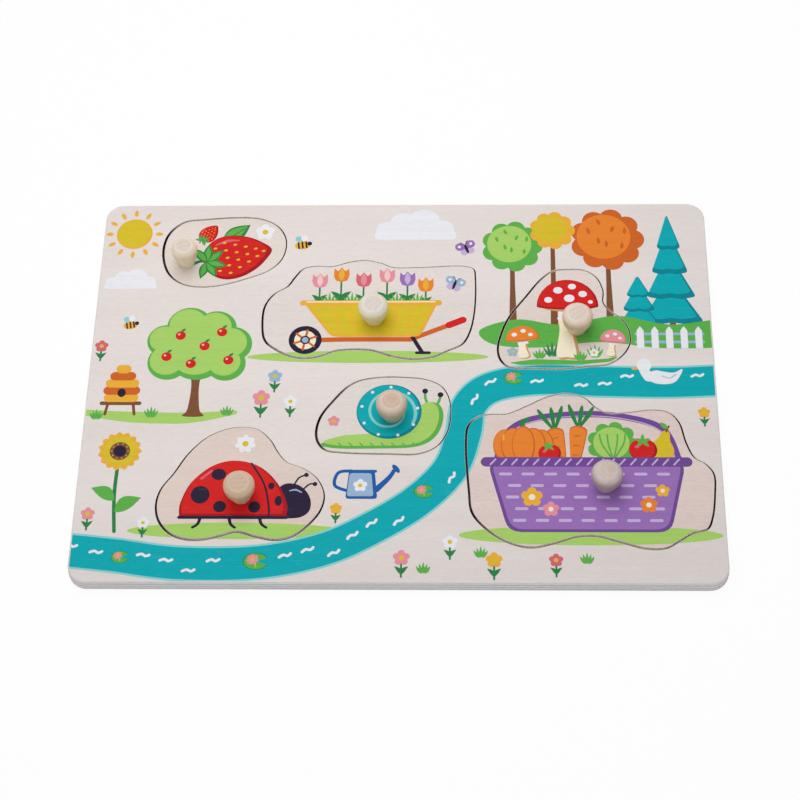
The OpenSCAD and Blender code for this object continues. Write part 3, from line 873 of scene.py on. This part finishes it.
def brook():
    yield "pale_teal", ribbon(BROOK, 18)
    yield "teal", ribbon(BROOK, 16)
    cuts = np.vstack(top_loops(frame["nodes"]["frame_board"]))
    line = smooth(BROOK, closed=False, step=1.0)
    for k in range(8, len(line) - 9, 11):
        along = line[k + 1] - line[k - 1]
        turn = math.degrees(math.atan2(along[1], along[0]))
        aside = turned([(0, 3.4 * math.sin(k * 1.9))], turn)[0]
        at = line[k] + aside
        clear = np.linalg.norm(cuts - at, axis=1).min() > 4.5
        if clear and all(math.hypot(*(at - (x, y))) > reach for x, y, reach in AFLOAT):
            ripple = ribbon([(-2.8, -0.4), (-1.2, 0.5), (0.6, -0.4), (2.6, 0.5)], 1.3)
            yield "white", turned(ripple, turn) + at


def lily():
    """A lily pad, notched, with a pink bloom."""
    squash = (1, 0.72)
    pad = np.vstack(([(0, 0)], arc(0, 0, 5, 25, 335) * squash))
    yield "dark_green", pad * 1.08
    yield "green", pad
    for turn in (80, 140, 200, 270):
        yield "lime", bar((0, 0), on_circle(turn, 3.6) * squash, 0.4)
    yield from placed(flower("pink", 2.6, 7), -1.4, 0.9)


def duck():
    """A white duck afloat, heading left."""
    body = smooth([(-8, 1), (-5, -2.6), (0, -4), (6, -3), (9.4, 1.6), (10, 4.4), (6, 2.4), (1, 3), (-3, 3.6)])
    yield "gold", rounded([(-10.6, 6), (-14, 5), (-13.6, 3.9), (-10, 4.2)], 0.6)
    yield "white", ribbon([(-6, 0), (-8, 3.6), (-7.6, 6)], 5, 4.4)
    yield "white", oval(-8, 6.6, 3.6)
    yield "white", body
    yield "grey", ribbon([(0.6, 0.4), (4, -0.6), (7, 1.6)], 0.7)


def sun():
    for turn in range(0, 360, 30):
        yield "gold", turned(leaf(4.4, 2.1) + (10.4, 0), turn)
    yield from shaded(oval(0, 0, 9), "gold", "yellow", (-0.3, 0.3), 0.9)


def sunflower():
    yield "dark_green", ribbon([(1, -42), (-0.6, -22), (0, 0)], 1.7)
    yield "green", turned(leaf(14, 7, 0.1), 32) + (0.2, -32)
    yield "green", turned(leaf(13, 6.5, -0.1), 150) + (-0.4, -26)
    for turn in range(0, 360, 24):
        yield "gold", turned(petal(10.4, 4.6), turn)
    for turn in range(12, 372, 24):
        yield "yellow", turned(petal(8.8, 3.2), turn)
    yield "brown", oval(0, 0, 4.8)
    yield "night", oval(0, 0, 3)
    for turn in range(0, 360, 36):
        yield "tan", oval(*on_circle(turn, 3.9), 0.4)


def apple_tree():
    yield "brown", smooth(mirrored((-5, 0), (-2.8, 4), (-2.2, 20), (-8, 30)))
    puffs = ((-14, 30, 10), (-16, 42, 9), (-5, 50, 11), (8, 49, 10), (16, 40, 10), (14, 29, 9.5), (0, 34, 14))
    for puff in puffs:
        yield "green", oval(*puff)
    for x, y, r in puffs:
        yield "lime", oval(x - 0.8, y + 1, r - 1.8)
    for x, y in ((-15, 33), (-9, 45), (3, 39), (11, 47), (15, 31), (-3, 29)):
        yield "red", oval(x, y, 2.5)
        yield "dark_green", turned(leaf(3, 1.3), 35) + (x, y + 2.2)
        yield "pale_pink", oval(x - 0.8, y + 0.7, 0.6)


def beehive():
    for leg in (((-6, -3), (-7, -9), 1.4), ((6, -3), (7, -9), 1.4), ((-9, -3), (9, -3), 2)):
        yield "brown", bar(*leg)
    for k, half in enumerate((8.2, 8.8, 8, 6.2, 3.6)):
        tier = bar((2.3 - half, 4 * k), (half - 2.3, 4 * k), 4.7)
        yield "dark_orange" if k % 2 else "gold", tier
    yield "night", oval(0, 2.8, 2, 2.4)


def fence(posts, pitch, height):
    """A picket fence, its first foot at (0, 0)."""
    span = (posts - 1) * pitch
    for y in (0.3 * height, 0.68 * height):
        yield "blue_grey", bar((-2, y), (span + 2, y), 1.5)
    for k in range(posts):
        x = k * pitch
        shoulders = [(x + 1.7, height - 2), (x, height + 0.6), (x - 1.7, height - 2)]
        yield "white", rounded([(x - 1.7, 0), (x + 1.7, 0), *shoulders], 0.5)


def watering_can():
    yield "blue", ribbon([(7, -3), (12.6, 3), (15, 7)], 3, 1.8)
    yield "blue", oval(15.8, 7.8, 2.6, 1.2, -52)
    yield "blue", ribbon([(-6, -4), (-12.4, -1), (-11, 5.6), (-5, 6.6)], 1.6)
    yield from shaded(rounded(trapezoid(-8, 6.4, 7.4, 6), 1.6), "blue", "blue_grey", (-0.6, 0.2), 0.84)
    yield "blue", bar((-6.2, 6.4), (6.2, 6.4), 1.6)
    yield from placed(flower("white", 3.4), -0.6, -1)


# What grows beside the brook: each flower's place, ink and radius, then each tuft's place and height
FLOWERS = (
    (143, -16, "gold", 3), (-143, -70, "pink", 3.4), (-117, -74.5, "white", 3), (-28.5, -67, "gold", 3),
    (2, -92, "pink", 4), (24, -84, "white", 3.6), (44, -93, "gold", 4), (72, -93, "rose", 3.4),
    (-60, 4, "blue_grey", 3.6), (-66, -8, "pink", 4.4), (-52, -10, "white", 3.4), (-145, 21, "rose", 3.4),
)
TUFTS = ((-118, -19, 6.5), (-82, -18, 6), (38, -92, 6), (12, -100, 6), (-144, -20, 6), (86, -95, 6))


def background():
    yield from scattered(
        (cloud(42), 6, 86), (cloud(27), -134, 56), (fir_tree(72, 30, "teal", "deep_teal"), 131, 26),
        (fir_tree(42, 20, "teal", "deep_teal", 3), 115, 28),
        (round_tree(66, 17, "orange", "dark_orange"), 101, 34),
        (round_tree(60, 14, "lime", "green"), 54, 33), (round_tree(69, 10.5, "yellow", "gold"), 74, 30),
    )
    yield "green", smooth([
        (38, 30), (56, 36), (78, 33), (104, 38), (130, 33), (160, 36), (160, 22), (128, 19.5), (96, 23),
        (66, 20), (44, 22),
    ])
    yield "lime", ribbon([(-150, -16), (-128, -18.5), (-100, -19), (-78, -16)], 3, 6, 6, 2)
    yield from scattered((apple_tree(), -98, -18), (beehive(), -133, -8))
    for lawn in ((-16, 14.8, 58, 3.4), (-74, -78.6, 50, 4.2), (88, -80.5, 60, 5)):
        yield "lime", oval(*lawn)
    yield from brook()
    yield from scattered(
        (fence(5, 7, 12), 115, 19.5), (sun(), -134.5, 87), (sunflower(), -131, -37),
        (watering_can(), -17, -54), (duck(), 124, 3.5),
    )
    for (x, y, _), size in zip(AFLOAT[1:], (0.9, 1.1, 0.9, 0.8)):
        yield from placed(lily(), x, y, 0, size)
    yield from scattered(
        (bee(), -50, 80, 8), (bee(), -132, 33, 12, 0.9), (butterfly("purple", "lilac"), 31.5, 77.5, 20),
    )
    for x, y, name, radius in FLOWERS:
        stem = 2.4 * radius
        yield from scattered((sprig(stem), x, y - stem), (flower(name, radius), x, y))
    yield from scattered(*((tuft(height), x, y) for x, y, height in TUFTS))


# New objects

def linked(name, data):
    """A new object in the scene, which holds a mesh, a lamp or a camera."""
    made = bpy.data.objects.new(name, data)
    bpy.context.scene.collection.objects.link(made)
    return made


def mesh_object(name, places, faces, materials):
    mesh = bpy.data.meshes.new(name)
    mesh.from_pydata(places, [], faces)
    for material in materials:
        mesh.materials.append(material)
    return linked(name, mesh)


def lifted(points, height):
    """Points in millimetres as places in metres, one ink's lift above a height."""
    return [(x * MM, y * MM, height + INK_LIFT * MM) for x, y in points]


# From shapes to a print, one thin layer a body

def top_loops(node):
    """The closed outlines of a node's top face, in millimetres, with the face to their left."""
    mesh = node.data
    mesh.calc_loop_triangles()
    edges = {}
    at = [tuple(np.round(np.array(vertex.co) / MM, 4)) for vertex in mesh.vertices]
    for triangle in mesh.loop_triangles:
        corners = [at[v] for v in triangle.vertices]
        if all(abs(corner[2] - TOP_Z / MM) < 1e-3 for corner in corners) and triangle.normal.z > 0.99:
            for a, b in zip(corners, corners[1:] + corners[:1]):
                edges[(a[:2], b[:2])] = True
    following = {a: b for a, b in edges if (b, a) not in edges}
    loops = []
    while following:
        start, point = following.popitem()
        loop = [start]
        while point != start:
            loop.append(point)
            point = following.pop(point)
        loops.append(np.array(loop))
    return loops


def piece_rim(motif):
    """The outline of a piece's top face."""
    return max(top_loops(frame["nodes"][motif + "_piece"]), key=lambda loop: np.ptp(loop[:, 0]))


def headings(loop):
    """The unit vector along a closed outline at each of its points."""
    along = np.roll(loop, -1, axis=0) - np.roll(loop, 1, axis=0)
    return along / np.linalg.norm(along, axis=1)[:, None]


def drawn_in(loop, distance):
    """A closed outline, moved to its left."""
    along = headings(loop)
    return loop + distance * np.c_[-along[:, 1], along[:, 0]]


def winding(points, outline):
    """How often a closed outline turns round each point."""
    x, y = points[:, 0, None], points[:, 1, None]
    ax, ay = outline[:, 0], outline[:, 1]
    bx, by = np.roll(ax, -1), np.roll(ay, -1)
    side = (bx - ax) * (y - ay) - (by - ay) * (x - ax)
    up = (ay <= y) & (by > y) & (side > 0)
    down = (ay > y) & (by <= y) & (side < 0)
    return up.sum(1) - down.sum(1)


def in_box(points, outline):
    """The numbers of the points that lie within an outline's bounding box."""
    return np.flatnonzero(((points > outline.min(0)) & (points < outline.max(0))).all(1))


def inside(points, outlines):
    """True for each point that the outlines, taken together, go round."""
    total = np.zeros(len(points), int)
    for outline in outlines:
        boxed = in_box(points, outline)
        total[boxed] += winding(points[boxed], outline)
    return total != 0


def print_areas():
    """Where each body takes ink: its outlines, a little inside its edges and around its knob's foot."""
    areas = {"board": [drawn_in(loop, INK_MARGIN) for loop in top_loops(frame["nodes"]["frame_board"])]}
    for motif in MOTIFS:
        low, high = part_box(motif + "_knob")
        centre = (low + high) / 2 / MM
        vertices = frame["nodes"][motif + "_knob"].data.vertices
        foot = [v.co / MM - centre for v in vertices if v.co.z < TOP_Z + 0.01 * MM]
        foot_r = max(math.hypot(v.x, v.y) for v in foot) - INK_MARGIN
        areas[motif] = [drawn_in(piece_rim(motif), INK_MARGIN), oval(centre.x, centre.y, foot_r)[::-1]]
    return areas


def knob_foot(motif):
    """The middle of a knob's foot on the board's top."""
    low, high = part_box(motif + "_knob")
    return ((low.x + high.x) / 2 / MM, (low.y + high.y) / 2 / MM)


def cut_up(outlines):
    """Triangles, as coordinates, that no outline crosses."""
    points, edges = [], []
    for outline in outlines:
        first, count = len(points), len(outline)
        points += [Vector(p) for p in outline]
        edges += [(first + k, first + (k + 1) % count) for k in range(count)]
    flat, _, faces, *_ = delaunay_2d_cdt(points, edges, [], 0, 1e-5)
    corners = np.array([tuple(p) for p in flat])
    return corners, np.array([tuple(face) for face in faces])


def inks_at(points, shapes):
    """The number of the uppermost ink at each point, or -1 where the wood is bare."""
    names = list(INKS)
    inked = np.full(len(points), -1)
    for name, outline in shapes:
        boxed = in_box(points, outline)
        inked[boxed[winding(points[boxed], outline) != 0]] = names.index(name)
    return inked


def print_picture():
    """Cuts the picture up along its own outlines and the bodies' edges, and prints each body's share."""
    shapes = list(background())
    for motif in MOTIFS:
        shapes += placed(PICTURES[motif](), *knob_foot(motif))
    areas = print_areas()
    edges = [outline for loops in areas.values() for outline in loops]
    corners, faces = cut_up(edges + [outline for _, outline in shapes])
    a, b, c = (corners[faces[:, k]] for k in range(3))
    size = np.abs((b - a)[:, 0] * (c - a)[:, 1] - (b - a)[:, 1] * (c - a)[:, 0]) / 2
    faces, middles = faces[size > LEAST_AREA], ((a + b + c) / 3)[size > LEAST_AREA]
    inked = inks_at(middles, shapes)
    materials = [ink(name, channels) for name, channels in INKS.items()]
    for body, loops in areas.items():
        mine = np.flatnonzero((inked >= 0) & inside(middles, loops))
        used, at = np.unique(faces[mine], return_inverse=True)
        slots = sorted(set(inked[mine]))
        piece = mesh_object(
            body + "_print", lifted(corners[used], TOP_Z), at.reshape(-1, 3).tolist(),
            [materials[slot] for slot in slots],
        )
        piece.data.polygons.foreach_set("material_index", [slots.index(k) for k in inked[mine]])
        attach(piece, body)


def across_grain(loop):
    """For each point of an outline, how far it runs across the grain there, from 0 to 1."""
    return np.clip((np.abs(headings(loop)[:, 1]) - 0.6) / 0.3, 0, 1)


def apart_from(loop, other):
    """The distance from each point of an outline to another outline's nearest point."""
    return np.array([np.linalg.norm(other - point, axis=1).min() for point in loop])


def strips(name, body, height, rims, material):
    """Flat strips inside outlines, each given with its width at every point."""
    places, faces = [], []
    for loop, widths in rims:
        first, count = len(places), len(loop)
        places += lifted(np.vstack((loop, drawn_in(loop, widths[:, None]))), height)
        for k in range(count):
            after = (k + 1) % count
            faces.append([first + v for v in (k, after, count + after, count + k)])
    piece = mesh_object(name, places, faces, [material])
    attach(piece, body)


# Partly painted shade: the burn is widened where the cut runs across the grain, which darkens the cut lines
# that run along Y.
def scorch_width(loop, motif):
    return LEAST_SCORCH + LOOKS[motif][0] * across_grain(loop)


def scorch_cuts():
    """Burnt rims on the top beside each cut, partly painted shade, and painted shade on the backing in the
    gap where a cut reaches it.
    """
    burn = burn_and_painted_shade()
    loops = top_loops(frame["nodes"]["frame_board"])
    holes = [loop for loop in loops if np.ptp(loop[:, 0]) * MM < 1.5 * FRAME_HALF.x]
    on_board, painted_gap_shade = [], []
    for motif in MOTIFS:
        rim = piece_rim(motif)
        burnt = [(rim, scorch_width(rim, motif))]
        strips(motif + "_scorch", motif, TOP_Z, burnt, burn)
        hole = min(holes, key=lambda loop: np.linalg.norm(loop.mean(0) - rim.mean(0)))
        on_board.append((hole, scorch_width(hole, motif)))
        # Painted shade: a dark strip on the backing fills the gap between each piece and its hole.
        gap = apart_from(hole[::-1], rim)
        painted_gap_shade.append((hole[::-1], np.maximum(gap - GAP_SHADE_INSET, GAP_SHADE_INSET)))
    strips("board_scorch", "board", TOP_Z, on_board, burn)
    strips("backing_painted_shade", "board", SEAM_Z, painted_gap_shade, burn)


def dress(node, material):
    node.data.materials.clear()
    node.data.materials.append(material)


def dress_nodes():
    nodes = frame["nodes"]
    steel = screw_steel()
    dress(nodes["frame_board"], frame_wood())
    dress(nodes["backing_board"], backing_wood())
    for motif, (_, grain, ends, sides) in LOOKS.items():
        dress(nodes[motif + "_piece"], piece_wood(motif, *grain))
        dress(nodes[motif + "_knob"], knob_wood(motif, ends, sides))
        dress(nodes[motif + "_screw"], steel)


# Floor, light and camera

def lamp(name, place, size, watts):
    """A soft square lamp that faces the middle of the board."""
    data = bpy.data.lights.new(name, "AREA")
    data.energy = watts
    data.size = size
    made = linked(name, data)
    made.location = place
    aim = Vector((0, 0, TOP_Z)) - Vector(place)
    made.rotation_euler = aim.to_track_quat("-Z", "Y").to_euler()


def floor():
    """White paper that shows a faint shadow."""
    shader = Shader("floor_paper")
    shader.finish(Base_Color=colour(250, 250, 250), Roughness=0.9, Specular_IOR_Level=0.0)
    paper = shader.node("BsdfDiffuse", {"Color": WHITE}).outputs[0]
    white = shader.node("Emission", {"Color": WHITE, "Strength": 1.0}).outputs[0]
    seen = shader.node("MixShader", {0: FLOOR_GLOW, 1: paper, 2: white}).outputs[0]
    sides = {0: shader.shown_directly(), 1: shader.surface.outputs[0], 2: seen}
    shader.put(shader.output.inputs["Surface"], shader.node("MixShader", sides).outputs[0])
    corners = [(-FLOOR_REACH, -FLOOR_REACH), (FLOOR_REACH, -FLOOR_REACH)]
    corners += [(-x, -y) for x, y in corners]
    made = mesh_object("floor", [(x, y, -FLOOR_DROP) for x, y in corners], [(0, 1, 2, 3)], [shader.material])


def world():
    """A white sky, which as a light is strongest overhead."""
    made = bpy.data.worlds.new("studio")
    sky = Graph(made)
    height = sky.apart(sky.node("TexCoord").outputs["Generated"])[2]
    strength = {"Value": height, "To Min": SKY_LIGHT[0], "To Max": SKY_LIGHT[1]}
    light = {"Color": WHITE, "Strength": sky.node("MapRange", strength).outputs["Result"]}
    sides = {
        0: sky.shown_directly(), 1: sky.node("Background", light).outputs[0],
        2: sky.node("Background", {"Color": WHITE, "Strength": 1.0}).outputs[0],
    }
    sky.node("OutputWorld", {"Surface": sky.node("MixShader", sides).outputs[0]})
    bpy.context.scene.world = made


def camera():
    data = bpy.data.cameras.new("camera")
    data.lens = CAMERA_LENS
    data.sensor_width = SENSOR_WIDTH
    made = linked("camera", data)
    look = (CAMERA_AIM - CAMERA_AT).to_track_quat("-Z", "Y").to_matrix()
    look @= Matrix.Rotation(CAMERA_ROLL, 3, "Z")
    made.matrix_world = Matrix.Translation(CAMERA_AT) @ look.to_4x4()
    bpy.context.scene.camera = made


camera()
world()
for name, place, size, watts in LAMPS:
    lamp(name, place, size, watts)
floor()
dress_nodes()
print_picture()
scorch_cuts()
bpy.context.scene.view_settings.view_transform = "Standard"
